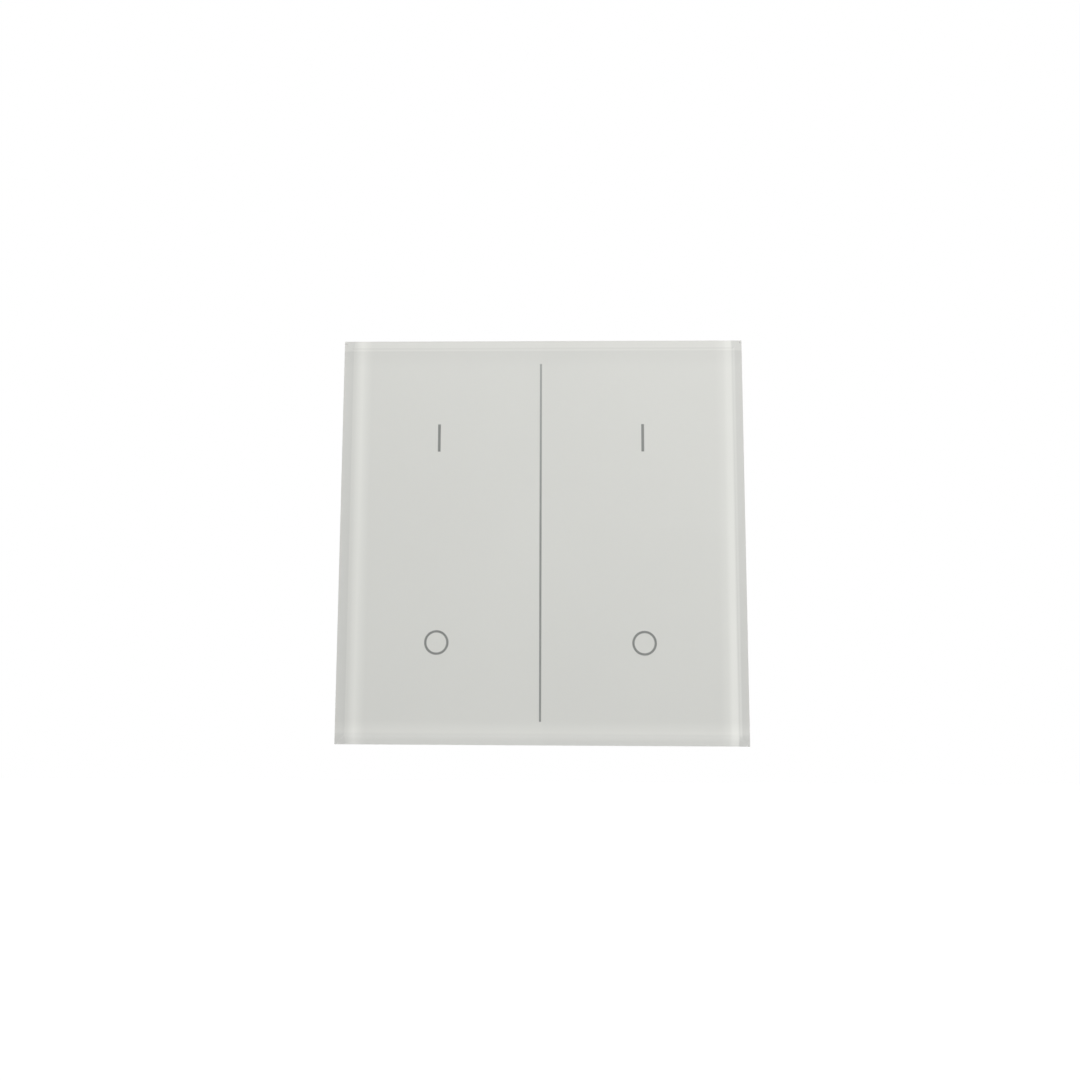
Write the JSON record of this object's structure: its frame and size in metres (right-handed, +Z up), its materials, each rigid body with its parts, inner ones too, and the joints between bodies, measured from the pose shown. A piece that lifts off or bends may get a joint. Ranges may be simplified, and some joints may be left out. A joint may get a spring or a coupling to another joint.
{
  "type": "dimmer switch",
  "caption": "Square wall dimmer with a one-piece bevelled glass front that leans to press bar and ring marks, with an in-wall power module behind.",
  "frame": {"origin": "on the wall plane, midway between the two wall-screw slots", "axes": "-Y out of the wall towards the user, +X to the right seen from the front, +Z up"},
  "size_m": [0.086, 0.0391, 0.086],
  "materials": {
    "clear_glass": "polished",
    "white_film": "satin",
    "grey_ink": "matt",
    "bonding_foam": "matt",
    "tray_plastic": "fine grain",
    "ring_plastic": "fine grain",
    "pin_steel": "ground",
    "frame_plastic": "fine grain",
    "screw_zinc": "zinc plated",
    "board_green": "solder mask",
    "silicone": "translucent matt",
    "carbon": "matt",
    "chip_black": "matt",
    "component_tan": "matt",
    "trimmer_blue": "moulded",
    "dial_white": "moulded",
    "connector_black": "moulded",
    "lid_plastic": "moulded",
    "housing_plastic": "fine grain",
    "terminal_plastic": "moulded",
    "clamp_nickel": "nickel plated",
    "terminal_zinc": "yellow zinc",
    "spreader_metal": "rolled",
    "pad_grey": "matt",
    "ferrite": "sintered",
    "copper_wire": "lacquered",
    "capacitor_box": "moulded",
    "capacitor_sleeve": "shrunk sleeve",
    "surge_blue": "dipped",
    "fuse_body": "matt",
    "supply_black": "moulded"
  },
  "bodies": {
    "root": {"base_frame": "frame_plastic", "case_screws": "screw_zinc", "control_board": "board_green", "board_screws": "screw_zinc", "dome_mat": "silicone", "contact_pills": "carbon", "controller_chip": "chip_black", "board_components": "component_tan", "trimmer_cases": "trimmer_blue", "link_plug": "connector_black", "link_socket": "connector_black", "module_lid": "lid_plastic", "rear_housing": "housing_plastic", "power_board": "board_green", "terminal_block": "terminal_plastic", "terminal_clamps": "clamp_nickel", "terminal_screws": "terminal_zinc", "heat_spreader": "spreader_metal", "insulating_pad": "pad_grey", "power_transistors": "chip_black", "choke_cores": "ferrite", "choke_coils": "copper_wire", "film_capacitors": "capacitor_box", "bulk_capacitor": "capacitor_sleeve", "surge_disc": "surge_blue", "line_fuse": "fuse_body", "supply_module": "supply_black", "driver_chips": "chip_black"},
    "gimbal": {"gimbal_ring": "ring_plastic", "pivot_pins": "pin_steel"},
    "front": {"glass_pane": "clear_glass", "backing_film": "white_film", "printed_marks": "grey_ink", "bonding_sheet": "bonding_foam", "pane_carrier": "tray_plastic"},
    "dial_left": {"trimmer_dial_left": "dial_white"},
    "dial_right": {"trimmer_dial_right": "dial_white"}
  },
  "joints": [
    {"name": "lean_sideways", "type": "hinge", "parent": "root", "child": "gimbal", "pos_m": [0, -0.0038, 0], "axis": [0, 0, 1], "range_deg": [-0.8, 0.8], "stiffness_Nm_per_rad": 5.6, "deforming": ["dome_mat"]},
    {"name": "lean_up_down", "type": "hinge", "parent": "gimbal", "child": "front", "pos_m": [0, -0.0038, 0], "axis": [1, 0, 0], "range_deg": [-0.8, 0.8], "stiffness_Nm_per_rad": 5.6, "deforming": ["dome_mat"]},
    {"name": "brightness_trim_left", "type": "hinge", "parent": "root", "child": "dial_left", "pos_m": [-0.0085, -0.0031, 0.0072], "axis": [0, -1, 0], "range_deg": [-135, 135]},
    {"name": "brightness_trim_right", "type": "hinge", "parent": "root", "child": "dial_right", "pos_m": [0.0085, -0.0031, 0.0072], "axis": [0, -1, 0], "range_deg": [-135, 135]}
  ]
}
